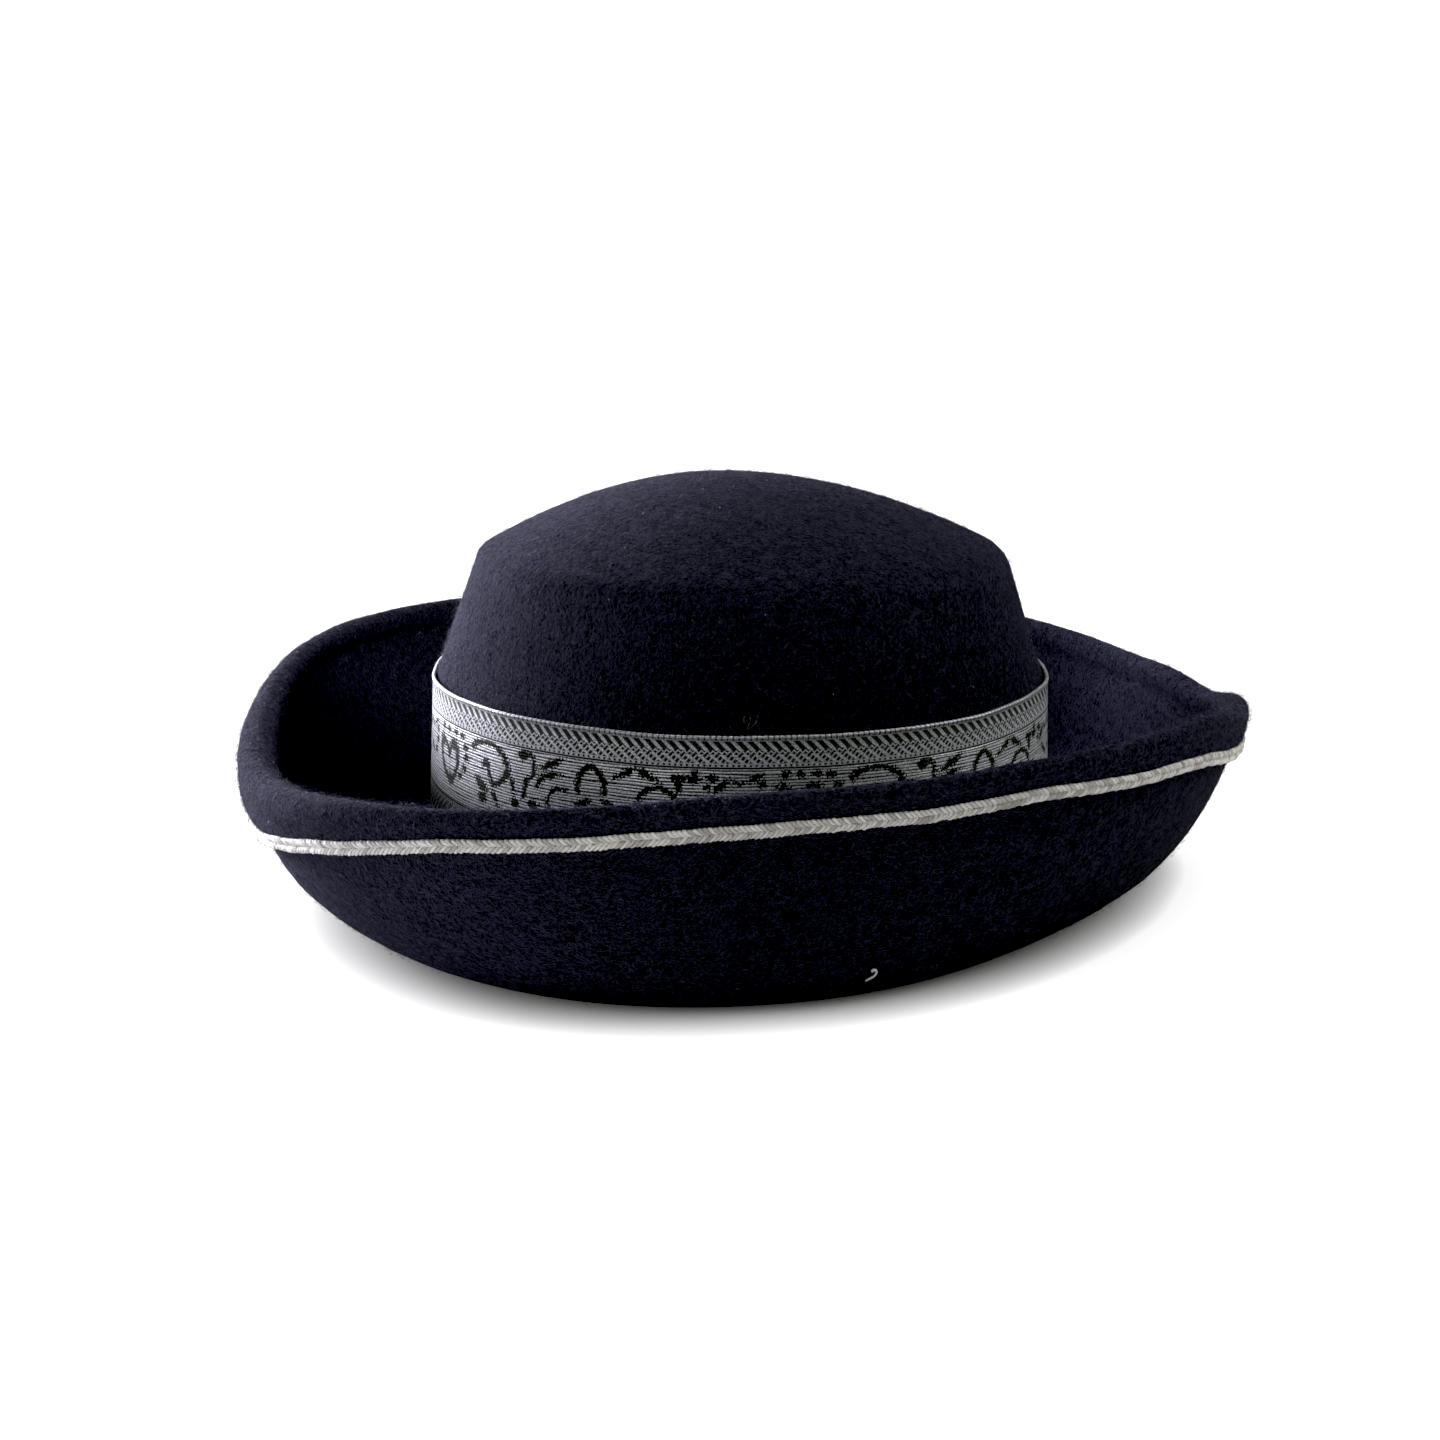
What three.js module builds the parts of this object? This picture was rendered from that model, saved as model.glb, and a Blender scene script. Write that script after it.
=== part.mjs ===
// A tricorn hat. Crown and turned-up brim are one piece of dark wool felt, with a jacquard ribbon round the foot
// of the crown and a soutache braid round the brim's hem. Millimetres. The hat rests on its brim at z = 0, +X
// points to its front peak, and the origin is the middle of its bounding box on that surface.

import * as THREE from "three";

// The crown is worked out in upright planes through this point, one for each angle round it.
const CROWN_CENTRE = { x: -2.9, y: 1.7 };
const ANGLES_ROUND = 60;

const FELT_THICKNESS = 2.5;
const SEATING_GAP = 0.35; // between the felt and the trimmings on it

// The ribbon is an upright oval loop that opens a little towards its foot. A 57 cm head fits the felt inside it.
const BAND = { halfLength: 102.5, halfWidth: 87.5, foot: 24, top: 68, taper: 3.3, thickness: 0.8 };

// The crown's side leans in by its taper above the knee, and its tip is a dome over a rounded shoulder. The dome
// is fuller in front, and the whole crown leans forward by that share of its height. Tapers are in degrees.
const CROWN = { knee: 66, taper: 19.6, shoulder: 107.7, dome: 24.3, domePower: 1.83, domeSkew: 4, lean: 0.013 };
const SHOULDER_RADIUS = { front: 9, back: 3 };

// Between crown and brim the felt runs down into a round gutter, whose underside is pressed flat where it rests.
// Drop and spread are how far the curve keeps the direction of the crown's side and of the flat.
const GUTTER = { flat: 8, spread: 6, drop: 14 };

// The brim from its resting ring to its rim, in equal steps of angle from the front peak over the left side:
// the ring's outer radius, the rim's radius, height and slope in degrees, half the thickness of its fold, and how
// far below the middle of the fold the braid lies. The felt bunches at the corners, so the fold is fuller there.
const BRIM = [
  { angle: 0, ring: 115, radius: 160, height: 52, slope: 83, fold: 4.6, hem: 10.8 },
  { angle: 30, ring: 112, radius: 150, height: 58, slope: 72, fold: 3.4, hem: 7.4 },
  { angle: 60, ring: 110, radius: 137, height: 63, slope: 67, fold: 3, hem: 6.6 },
  { angle: 90, ring: 114, radius: 134, height: 63, slope: 66, fold: 3, hem: 6.6 },
  { angle: 120, ring: 117, radius: 158, height: 61, slope: 68, fold: 3.4, hem: 7.4 },
  { angle: 150, ring: 116, radius: 168, height: 60, slope: 71, fold: 4.4, hem: 9.6 },
  { angle: 180, ring: 110, radius: 159, height: 58, slope: 74, fold: 4.6, hem: 10 },
  { angle: 210, ring: 116, radius: 165.5, height: 53, slope: 80, fold: 4.8, hem: 11 },
  { angle: 240, ring: 125, radius: 163, height: 60, slope: 68, fold: 3.6, hem: 6.8 },
  { angle: 270, ring: 118, radius: 132, height: 62, slope: 64, fold: 3, hem: 6.4 },
  { angle: 300, ring: 109, radius: 138, height: 65.5, slope: 66, fold: 3, hem: 6.8 },
  { angle: 330, ring: 107, radius: 157, height: 69, slope: 76, fold: 3.4, hem: 9.2 },
];

// The crease at the front peak draws the rim out and up, within a spread in degrees.
const PEAK = { reach: 5, lift: 3.8, spread: 10 };

// How far the brim's curve keeps its direction at either end, as a share of the straight distance.
const BRIM_PULL = { ring: 0.45, rim: 0.35 };

// The brim's edge is turned to the outside as a hem, which stands out a little more at the fold than at its raw
// edge. The braid lies on the hem and reaches just past that edge.
const HEM = { belowBraid: 2.2, bulge: 0.5 };
const BRAID = { width: 4.2, height: 1.2 };

// Where the points of a cut lie, as shares of the way along each run.
const DOME_SHARES = [0, 0.15, 0.3, 0.45, 0.6, 0.72, 0.83];
const SIDE_HEIGHTS = [90, 77, CROWN.knee, 54, 38, BAND.foot];
const BRIM_SHARES = [0.14, 0.28, 0.42, 0.57, 0.71, 0.86, 1];
const HEM_SHARES = [1 / 3, 2 / 3, 1];
const FOLD_ANGLES = [36, 72, 108, 144];

const radians = THREE.MathUtils.degToRad;

// A smooth closed run of values through equal steps of a full turn: cubics whose slopes keep the bend continuous.
function closedSpline(values) {
  const count = values.length;
  const slopes = values.map(() => 0);
  for (let sweep = 0; sweep < 40; sweep++) {
    for (let i = 0; i < count; i++) {
      const before = (i + count - 1) % count;
      const after = (i + 1) % count;
      slopes[i] = (3 * (values[after] - values[before]) - slopes[before] - slopes[after]) / 4;
    }
  }
  return (turn) => {
    const step = Math.floor(turn * count);
    const t = turn * count - step;
    const i = step % count;
    const j = (i + 1) % count;
    const rise = values[j] - values[i];
    const a = slopes[i] - rise;
    const b = rise - slopes[j];
    return values[i] + t * rise + t * (1 - t) * ((1 - t) * a + t * b);
  };
}

const ringRadius = closedSpline(BRIM.map((row) => row.ring));
const rimRadius = closedSpline(BRIM.map((row) => row.radius));
const rimHeight = closedSpline(BRIM.map((row) => row.height));
const rimSlope = closedSpline(BRIM.map((row) => row.slope));
const foldRadius = closedSpline(BRIM.map((row) => row.fold));
const braidDepth = closedSpline(BRIM.map((row) => row.hem));

// How far from the centre an oval with these half axes lies in the direction of the angle.
function ovalRadius(halfLength, halfWidth, angle) {
  return (halfLength * halfWidth) / Math.hypot(halfWidth * Math.cos(angle), halfLength * Math.sin(angle));
}

// The ribbon's outer face at a height.
function bandRadius(height, angle) {
  const opening = (BAND.top - height) * Math.tan(radians(BAND.taper));
  return ovalRadius(BAND.halfLength + opening, BAND.halfWidth + opening, angle);
}

// The crown's outer face at a height: just inside the ribbon, then leaning in from the knee upwards.
function crownRadius(height, angle) {
  const below = Math.min(height, CROWN.knee);
  const opening = (BAND.top - below) * Math.tan(radians(BAND.taper));
  const leaning = (height - below) * Math.tan(radians(CROWN.taper));
  const inset = BAND.thickness + SEATING_GAP + leaning - opening;
  return ovalRadius(BAND.halfLength - inset, BAND.halfWidth - inset, angle);
}

// The crown's outer face from the middle of its tip down to the ribbon's foot: dome, shoulder and side.
function crownProfile(angle) {
  const edge = new THREE.Vector2(crownRadius(CROWN.shoulder, angle), CROWN.shoulder);
  const domePoint = (share) => {
    const skew = CROWN.domeSkew * share * (1 - share) * Math.cos(angle);
    const rise = CROWN.dome * (1 - Math.pow(share, CROWN.domePower)) - skew;
    return new THREE.Vector2(share * edge.x, edge.y + rise);
  };
  const sidePoint = (height) => new THREE.Vector2(crownRadius(height, angle), height);
  const { front, back } = SHOULDER_RADIUS;
  const rounding = (front + back) / 2 + ((front - back) / 2) * Math.cos(angle);
  const domeEnd = domePoint(1 - (0.6 * rounding) / edge.x);
  const sideStart = sidePoint(edge.y - 0.6 * rounding);
  const shoulder = new THREE.QuadraticBezierCurve(domeEnd, edge, sideStart);
  return [
    ...DOME_SHARES.map(domePoint),
    ...shoulder.getPoints(4),
    ...SIDE_HEIGHTS.map(sidePoint),
  ];
}

// The underside from the ribbon's foot to the rim: the gutter, the flat that the hat rests on, then the brim. The
// last of the brim's shares is where the hem ends.
function undersideProfile(angle) {
  const turn = angle / (2 * Math.PI);
  const wall = new THREE.Vector2(crownRadius(BAND.foot, angle) - FELT_THICKNESS, BAND.foot);
  const ring = new THREE.Vector2(ringRadius(turn), 0);
  const heel = new THREE.Vector2(ring.x - GUTTER.flat, 0);
  const gutter = new THREE.CubicBezierCurve(
    wall,
    new THREE.Vector2(wall.x, wall.y - GUTTER.drop),
    new THREE.Vector2(heel.x - GUTTER.spread, 0),
    heel,
  );
  const fromPeak = Math.min(turn, 1 - turn) * 360;
  const crease = Math.exp(-Math.pow(fromPeak / PEAK.spread, 2));
  const rim = new THREE.Vector2(rimRadius(turn) + PEAK.reach * crease, rimHeight(turn) + PEAK.lift * crease);
  const slope = radians(rimSlope(turn));
  const chord = rim.distanceTo(ring);
  const brim = new THREE.CubicBezierCurve(
    ring,
    new THREE.Vector2(ring.x + BRIM_PULL.ring * chord, 0),
    new THREE.Vector2(
      rim.x - BRIM_PULL.rim * chord * Math.cos(slope),
      rim.y - BRIM_PULL.rim * chord * Math.sin(slope),
    ),
    rim,
  );
  const hemStart = 1 - (braidDepth(turn) + HEM.belowBraid) / brim.getLength();
  const upToHem = BRIM_SHARES.map((share) => brim.getPointAt(share * hemStart));
  const underHem = HEM_SHARES.map((share) => brim.getPointAt(hemStart + share * (1 - hemStart)));
  return [...gutter.getPoints(6), ring, ...upToHem, ...underHem];
}

// The points moved sideways, to the left of the way that they run, each by its own distance.
function offset(points, distanceAt) {
  return points.map((point, i) => {
    const along = new THREE.Vector2().subVectors(
      points[Math.min(i + 1, points.length - 1)],
      points[Math.max(i - 1, 0)],
    );
    along.normalize();
    return new THREE.Vector2(point.x - distanceAt(i) * along.y, point.y + distanceAt(i) * along.x);
  });
}

// One upright cut through the felt, from the outer middle of the tip round the rim to the inner middle. Towards
// the rim the brim's inner face swells to the fold, and the hem outside swells by its bulge.
function feltProfile(angle) {
  const crown = crownProfile(angle);
  const inside = offset(crown, () => -FELT_THICKNESS);
  inside[0].set(0, crown[0].y - FELT_THICKNESS);
  const under = undersideProfile(angle);
  const last = under.length - 1;
  const hemSteps = HEM_SHARES.length;
  const swelling = (i) => Math.pow(Math.max(0, 1 - (last - i) / hemSteps), 2);
  const foldBulge = 2 * foldRadius(angle / (2 * Math.PI)) - 2 * FELT_THICKNESS - HEM.bulge;
  const top = offset(under, (i) => FELT_THICKNESS + foldBulge * swelling(i));
  const hem = offset(under, (i) => -FELT_THICKNESS - HEM.bulge * swelling(i)).slice(-hemSteps - 1);
  const centre = new THREE.Vector2().lerpVectors(top[last], hem[hemSteps], 0.5);
  const fold = FOLD_ANGLES.map((turned) => top[last].clone().rotateAround(centre, -radians(turned)));
  return [
    ...crown,
    ...top.slice(1),
    ...fold,
    ...hem.reverse(),
    ...under.slice(1, -hemSteps).reverse(),
    ...inside.reverse(),
  ];
}

// The crown leans forward a little above the knee, and every point of a cut is carried along.
function placed(point, angle) {
  const forward = CROWN.lean * Math.max(0, point.y - CROWN.knee);
  return [
    CROWN_CENTRE.x + forward + point.x * Math.cos(angle),
    CROWN_CENTRE.y + point.x * Math.sin(angle),
    point.y,
  ];
}

// A closed skin over the cuts at every angle. Each cut either runs from pole to pole or closes on itself.
function skin(profileAt, closesOnItself) {
  const positions = [];
  const index = [];
  let length = 0;
  for (let i = 0; i < ANGLES_ROUND; i++) {
    const angle = (i / ANGLES_ROUND) * 2 * Math.PI;
    const profile = profileAt(angle);
    length = profile.length;
    for (const point of profile) positions.push(...placed(point, angle));
  }
  const steps = closesOnItself ? length : length - 1;
  for (let i = 0; i < ANGLES_ROUND; i++) {
    const next = (i + 1) % ANGLES_ROUND;
    for (let j = 0; j < steps; j++) {
      const k = (j + 1) % length;
      const [a, b, c, d] = [i * length + j, i * length + k, next * length + k, next * length + j];
      const fromPole = !closesOnItself && j === 0;
      const toPole = !closesOnItself && j === steps - 1;
      if (!toPole) index.push(a, b, c);
      if (!fromPole) index.push(a, c, d);
    }
  }
  const geometry = new THREE.BufferGeometry();
  geometry.setAttribute("position", new THREE.Float32BufferAttribute(positions, 3));
  geometry.setIndex(index);
  geometry.computeVertexNormals();
  return geometry;
}

// The ribbon's cut, a thin upright strip.
function bandProfile(angle) {
  const outer = [BAND.top, BAND.foot].map((height) => new THREE.Vector2(bandRadius(height, angle), height));
  const inner = outer.map((point) => new THREE.Vector2(point.x - BAND.thickness, point.y));
  return [...outer, ...inner.reverse()];
}

// The braid's cut, a flat strip with rounded sides that lies on the hem's outer face.
function braidProfile(angle) {
  const under = undersideProfile(angle);
  const rim = under[under.length - 1];
  const hemEdge = under[under.length - 1 - HEM_SHARES.length];
  const depth = braidDepth(angle / (2 * Math.PI));
  const along = new THREE.Vector2().subVectors(hemEdge, rim).normalize();
  const out = new THREE.Vector2(-along.y, along.x);
  const lift = FELT_THICKNESS + SEATING_GAP + BRAID.height / 2;
  const middle = rim.clone().addScaledVector(along, depth).addScaledVector(out, lift);
  return [
    [-0.5, 0],
    [-0.3, 0.5],
    [0.3, 0.5],
    [0.5, 0],
    [0.3, -0.5],
    [-0.3, -0.5],
  ].map(([across, up]) =>
    middle.clone().addScaledVector(along, across * BRAID.width).addScaledVector(out, up * BRAID.height),
  );
}

// A named piece with its own finish.
function piece(name, geometry, color, roughness, metalness) {
  const mesh = new THREE.Mesh(geometry, new THREE.MeshStandardMaterial({ color, roughness, metalness }));
  mesh.name = name;
  return mesh;
}

const hat = new THREE.Group();
hat.add(
  piece("felt_body", skin(feltProfile, false), 0x15162a, 0.95, 0),
  piece("hat_band", skin(bandProfile, true), 0x9ba3a8, 0.45, 0.5),
  piece("rim_braid", skin(braidProfile, true), 0xc8c5bc, 0.5, 0.4),
);

export default hat;
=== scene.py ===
"""A tricorn hat of dark navy wool felt, with a silver jacquard ribbon and a soutache braid.

Shapes are worked out in millimetres and become metres as each mesh is made. A cut is one upright section
through the hat: an array of complex numbers, radius + height * 1j, with one row for each angle round the
crown's centre.
"""

import math
from types import SimpleNamespace as Sizes

import bpy
import numpy as np
from mathutils import Matrix, Vector


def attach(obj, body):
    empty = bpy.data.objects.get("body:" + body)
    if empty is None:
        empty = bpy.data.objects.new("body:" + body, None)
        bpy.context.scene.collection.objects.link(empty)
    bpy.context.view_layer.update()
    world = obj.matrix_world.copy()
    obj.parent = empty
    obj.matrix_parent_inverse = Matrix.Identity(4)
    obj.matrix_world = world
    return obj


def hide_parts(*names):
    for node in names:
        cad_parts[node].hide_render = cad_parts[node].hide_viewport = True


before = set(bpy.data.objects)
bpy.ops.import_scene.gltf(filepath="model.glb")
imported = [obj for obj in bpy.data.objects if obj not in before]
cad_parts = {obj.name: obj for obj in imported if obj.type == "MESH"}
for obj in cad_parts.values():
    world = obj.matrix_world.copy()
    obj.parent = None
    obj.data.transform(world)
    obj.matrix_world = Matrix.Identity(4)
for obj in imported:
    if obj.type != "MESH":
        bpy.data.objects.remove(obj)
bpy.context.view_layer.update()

MM = 0.001
TURN = 2 * np.pi

# The hat's own sizes, as its solids have them. Tapers, slopes and spreads are in degrees.
CROWN_CENTRE = (-2.9, 1.7)
FELT_THICKNESS = 2.5
SEATING_GAP = 0.35
BAND = Sizes(half_length=102.5, half_width=87.5, foot=24, top=68, taper=3.3, thickness=0.8)
CROWN = Sizes(knee=66, taper=19.6, shoulder=107.7, dome=24.3, dome_power=1.83, dome_skew=4, lean=0.013)
SHOULDER = Sizes(front=9, back=3)
GUTTER = Sizes(flat=8, spread=6, drop=14)
PEAK = Sizes(reach=5, lift=3.8, spread=10)
BRIM_PULL = Sizes(ring=0.45, rim=0.35)
HEM = Sizes(below_braid=2.2, bulge=0.5)
BAND_WIDTH = BAND.top - BAND.foot
BRAID = Sizes(width=4.2, height=1.2, pitch=1.4, slant=1.35)

# What the scene adds to the solids. The ribbon's seam is in degrees from the front peak. Stitches and
# puffs are counted round the brim, and the ribbon's ripples along it: height in mm, number in the loop,
# start in radians.
RIBBON = Sizes(seam=100, length=605.8, bar_pitch=3.4, bead_radius=0.55, bead_relief=0.2)
RIPPLES = ((0.3, 7, 1), (0.22, 12, 0), (0.12, 23, 2))
STITCHES = Sizes(count=300, below=6, width=1.1, depth=2.2)
PUFFS = Sizes(count=150, height=0.25)
LUMPS = Sizes(slow=0.45, quick=0.16, on_crown=0.7, behind_ribbon=0.1)
DOME_FULLNESS = 2.2
STANDING_HEM = Sizes(middle=198, spread=11, amount=1.4)

# The felt's grid: how many cuts, and how many points each stretch of a cut takes. The nap covers the
# outside down to its last napped point.
FELT_CUTS = 416
POINTS = Sizes(dome=30, shoulder=8, side=30, gutter=14, brim=40, hem=14, fold=14, edge=2, napped=38)
CROWN_END = POINTS.dome + POINTS.shoulder + POINTS.side
RIM = CROWN_END + POINTS.gutter + POINTS.brim + POINTS.hem
FOLD_MIDDLE = RIM + POINTS.fold // 2
NAP_END = RIM + POINTS.fold + POINTS.hem + 1 + POINTS.edge + POINTS.napped

# The brim in twelve equal steps of angle from the front peak over the left side. Ring is the radius that
# it rests on, radius, height and slope are the rim's, fold is half the fold's thickness, and hem its width
# down to the braid.
BRIM_COLUMNS = ("ring", "radius", "height", "slope", "fold", "hem")
BRIM_ROWS = [
    (115, 160, 52, 83, 4.6, 10.8),
    (112, 150, 58, 72, 3.4, 7.4),
    (110, 137, 63, 67, 3, 6.6),
    (114, 134, 63, 66, 3, 6.6),
    (117, 158, 61, 68, 3.4, 7.4),
    (116, 168, 60, 71, 4.4, 9.6),
    (110, 159, 58, 74, 4.6, 10),
    (116, 165.5, 53, 80, 4.8, 11),
    (125, 163, 60, 68, 3.6, 6.8),
    (118, 132, 62, 64, 3, 6.4),
    (109, 138, 65.5, 66, 3, 6.8),
    (107, 157, 69, 76, 3.4, 9.2),
]


def colour(red, green, blue):
    return (red, green, blue, 1)


def rows_of(columns, table):
    """A table's rows, each with its columns' names."""
    return [Sizes(**dict(zip(columns, row))) for row in table]


# Where the felt departs a little from its solid: bells of a column's amount round a middle angle.
BELL_COLUMNS = ("column", "middle", "spread", "amount")
BELLS = rows_of(
    BELL_COLUMNS,
    [
        ("radius", 0, 9, 1.2),
        ("radius", 192, 22, -0.6),
        ("height", 4, 5, -3),
        ("height", 14, 7, 2.1),
        ("height", 214, 9, -1.6),
        ("height", 303, 10, 0.8),
        ("height", 318, 12, -1.4),
        ("slope", 0, 14, 6),
        ("slope", 196, 28, 11),
        ("fold", 198, 16, 1.0),
        ("hem", 215, 12, 1.8),
        ("hem", 242, 10, -1.1),
        ("hem", 307, 10, -0.8),
        ("hem", 348, 8, -1.4),
        ("ring", 235, 22, -3),
        ("ring", 290, 22, 2.5),
    ],
)


def closed_spline(values):
    """A smooth closed run of values through equal steps of a full turn.

    Each step is a cubic, and its end slopes m solve m[i-1] + 4 m[i] + m[i+1] = 3 (v[i+1] - v[i-1]), which
    keeps the bend continuous.
    """
    values = np.array(values, float)
    count = len(values)
    one = np.eye(count)
    system = 4 * one + np.roll(one, 1, axis=0) + np.roll(one, -1, axis=0)
    slopes = np.linalg.solve(system, 3 * (np.roll(values, -1) - np.roll(values, 1)))

    def at(turn):
        place = (turn % 1) * count
        i = np.floor(place).astype(int) % count
        t = place - np.floor(place)
        j = (i + 1) % count
        rise = values[j] - values[i]
        bend = (1 - t) * (slopes[i] - rise) + t * (rise - slopes[j])
        return values[i] + t * rise + t * (1 - t) * bend

    return at


def bell(angle, middle, spread):
    """exp(-(d / spread)^2), with d the shorter way round from the middle, in degrees."""
    from_middle = (np.degrees(angle) - middle + 180) % 360 - 180
    return np.exp(-((from_middle / spread) ** 2))


def brim_column(name, values):
    """One of the brim's sizes at any angle: the spline through its rows, and its bells."""
    spline = closed_spline(values)
    bells = [row for row in BELLS if row.column == name]

    def at(angle):
        return spline(angle / TURN) + sum(row.amount * bell(angle, row.middle, row.spread) for row in bells)

    return at


brim_sizes = dict(zip(BRIM_COLUMNS, zip(*BRIM_ROWS)))
brim_at = Sizes(**{name: brim_column(name, values) for name, values in brim_sizes.items()})


def ramp(value, low, high):
    """0 below low, 1 above high, and 3t^2 - 2t^3 between them."""
    t = np.clip((value - low) / (high - low), 0, 1)
    return t * t * (3 - 2 * t)


def oval_radius(half_length, half_width, angle):
    """Distance from the centre to an ellipse: a b / hypot(b cos, a sin)."""
    return half_length * half_width / np.hypot(half_width * np.cos(angle), half_length * np.sin(angle))


def band_radius(height, angle):
    """The ribbon's outer face: an ellipse that opens towards the foot by its taper."""
    opening = (BAND.top - height) * math.tan(math.radians(BAND.taper))
    return oval_radius(BAND.half_length + opening, BAND.half_width + opening, angle)


def crown_radius(height, angle):
    """The crown's outer face: just inside the ribbon, and leaning in by the crown's taper above the knee."""
    below = np.minimum(height, CROWN.knee)
    opening = (BAND.top - below) * math.tan(math.radians(BAND.taper))
    leaning = (height - below) * math.tan(math.radians(CROWN.taper))
    inset = BAND.thickness + SEATING_GAP + leaning - opening
    return oval_radius(BAND.half_length - inset, BAND.half_width - inset, angle)


def bezier(points, t):
    """The cubic (1-t)^3 a + 3 (1-t)^2 t b + 3 (1-t) t^2 c + t^3 d."""
    a, b, c, d = points
    return (1 - t) ** 3 * a + 3 * (1 - t) ** 2 * t * b + 3 * (1 - t) * t * t * c + t**3 * d


def shifted(cut, distance):
    """The cut moved to the left of the way that it runs: each point plus distance * 1j * its direction."""
    along = np.gradient(cut, axis=1)
    return cut + distance * 1j * along / np.abs(along)


def crown_cut(angle):
    """The crown's outer face from the middle of the tip to the ribbon's foot.

    The dome is share * edge + 1j * (shoulder + dome * (1 - share^power) - skew), then a quadratic rounding
    over the shoulder, then the side, down to the foot. The skew tips the dome forward and fills it out.
    """
    edge = crown_radius(CROWN.shoulder, angle)
    rounding = (SHOULDER.front + SHOULDER.back) / 2 + (SHOULDER.front - SHOULDER.back) / 2 * np.cos(angle)
    set_back = 0.6 * rounding
    share = np.linspace(0, 1, POINTS.dome) * (1 - set_back / edge)
    skew = (CROWN.dome_skew * np.cos(angle) - DOME_FULLNESS) * share * (1 - share)
    dome = share * edge + 1j * (CROWN.shoulder + CROWN.dome * (1 - share**CROWN.dome_power) - skew)
    side_top = CROWN.shoulder - set_back
    height = side_top + (BAND.foot - side_top) * np.linspace(0, 1, POINTS.side)
    side = crown_radius(height, angle) + 1j * height
    t = np.linspace(0, 1, POINTS.shoulder + 2)[1:-1]
    corner = edge + 1j * CROWN.shoulder
    rounded = (1 - t) ** 2 * dome[:, -1:] + 2 * (1 - t) * t * corner + t * t * side[:, :1]
    return np.hstack([dome, rounded, side])


def brim_curve(angle):
    """The four Bezier points of the brim's outer face, from the resting ring to the rim."""
    crease = bell(angle, 0, PEAK.spread)
    ring = brim_at.ring(angle) + 0j
    rim = brim_at.radius(angle) + PEAK.reach * crease + 1j * (brim_at.height(angle) + PEAK.lift * crease)
    chord = np.abs(rim - ring)
    slope = np.exp(1j * np.radians(brim_at.slope(angle)))
    return ring, ring + BRIM_PULL.ring * chord, rim - BRIM_PULL.rim * chord * slope, rim


def brim_run(angle):
    """The brim's outer face in fine steps from ring to rim, and the distance run along it at each."""
    fine = bezier(brim_curve(angle), np.linspace(0, 1, 400))
    return fine, np.cumsum(np.abs(np.diff(fine, axis=1, prepend=fine[:, :1])), axis=1)


def brim_cut(angle, below_rim):
    """Points of the brim's outer face at distances below the rim, along it: one row for each angle."""
    fine, run = brim_run(angle)
    wanted = run[:, -1:] - below_rim
    return np.array([np.interp(w, r, f) for w, r, f in zip(wanted, run, fine)])


def gutter_cut(angle):
    """The underside from the ribbon's foot round the gutter to the heel of the flat: one Bezier curve."""
    wall = crown_radius(BAND.foot, angle) - FELT_THICKNESS + 1j * BAND.foot
    heel = brim_at.ring(angle) - GUTTER.flat + 0j
    points = (wall, wall - 1j * GUTTER.drop, heel - GUTTER.spread, heel)
    return bezier(points, np.linspace(0, 1, POINTS.gutter))


def stitch_groove(below_rim, angle):
    """The row of stitches that holds the hem, seen on the brim's inner face as a furrow with deeper pricks.

    At a distance d below the rim, its depth is depth * exp(-((d - below) / width)^2) times
    0.6 + 0.4 cos(count / 2 * angle)^2, which makes a prick at each stitch.
    """
    furrow = np.exp(-(((below_rim - STITCHES.below) / STITCHES.width) ** 2))
    prick = 0.6 + 0.4 * np.cos(STITCHES.count / 2 * angle) ** 2
    return STITCHES.depth * furrow * prick


def hem_standing(angle):
    """How far the hem's raw edge stands off the brim."""
    return STANDING_HEM.amount * bell(angle, STANDING_HEM.middle, STANDING_HEM.spread)


def felt_cut(angle):
    """One closed cut through the felt, from the outer middle of the tip round the rim to the inner middle.

    The underside is carried from ribbon foot to rim. The inner face lies a thickness to its left and
    swells to the fold. The hem lies a thickness to its right from the rim down to its raw edge, softly
    puffed, and a half circle joins the two over the rim.
    """
    crown = crown_cut(angle)
    inside = shifted(crown, -FELT_THICKNESS)[:, ::3]
    inside[:, :1] = 1j * (crown[:, :1].imag - FELT_THICKNESS)
    hem_width = brim_at.hem(angle) + HEM.below_braid
    length = brim_run(angle)[1][:, -1:]
    to_hem = length + (hem_width - length) * np.linspace(0, 1, POINTS.brim)
    in_hem = hem_width * (1 - np.linspace(0, 1, POINTS.hem + 1)[1:])
    below_rim = np.hstack([to_hem, in_hem])
    gutter = gutter_cut(angle)
    under = np.hstack([gutter, brim_cut(angle, below_rim)])
    below_rim = np.hstack([np.broadcast_to(length, gutter.shape), below_rim])
    swelling = np.maximum(0, 1 - below_rim / hem_width) ** 2
    fold_bulge = 2 * brim_at.fold(angle) - 2 * FELT_THICKNESS - HEM.bulge
    top = shifted(under, FELT_THICKNESS + fold_bulge * swelling - stitch_groove(below_rim, angle))
    down_hem = np.clip(below_rim / hem_width, 0, 1)
    puff = PUFFS.height * np.cos(PUFFS.count / 2 * angle) ** 2 * np.sin(np.pi * down_hem)
    off_brim = puff + hem_standing(angle) * down_hem
    raw_edge = -POINTS.hem - 1
    hem = shifted(under, -FELT_THICKNESS - HEM.bulge * swelling - off_brim)[:, raw_edge:]
    middle = (top[:, -1:] + hem[:, -1:]) / 2
    fold = middle + (top[:, -1:] - middle) * np.exp(-1j * np.pi * np.linspace(0, 1, POINTS.fold + 2)[1:-1])
    behind = under[:, raw_edge : raw_edge + 1]
    edge = behind + (hem[:, :1] - behind) * np.array([0.8, 0.35])
    outside = under[:, 1:raw_edge]
    return np.hstack([crown, top[:, 1:], fold, hem[:, ::-1], edge, outside[:, ::-1], inside[:, ::-1]])


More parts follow.
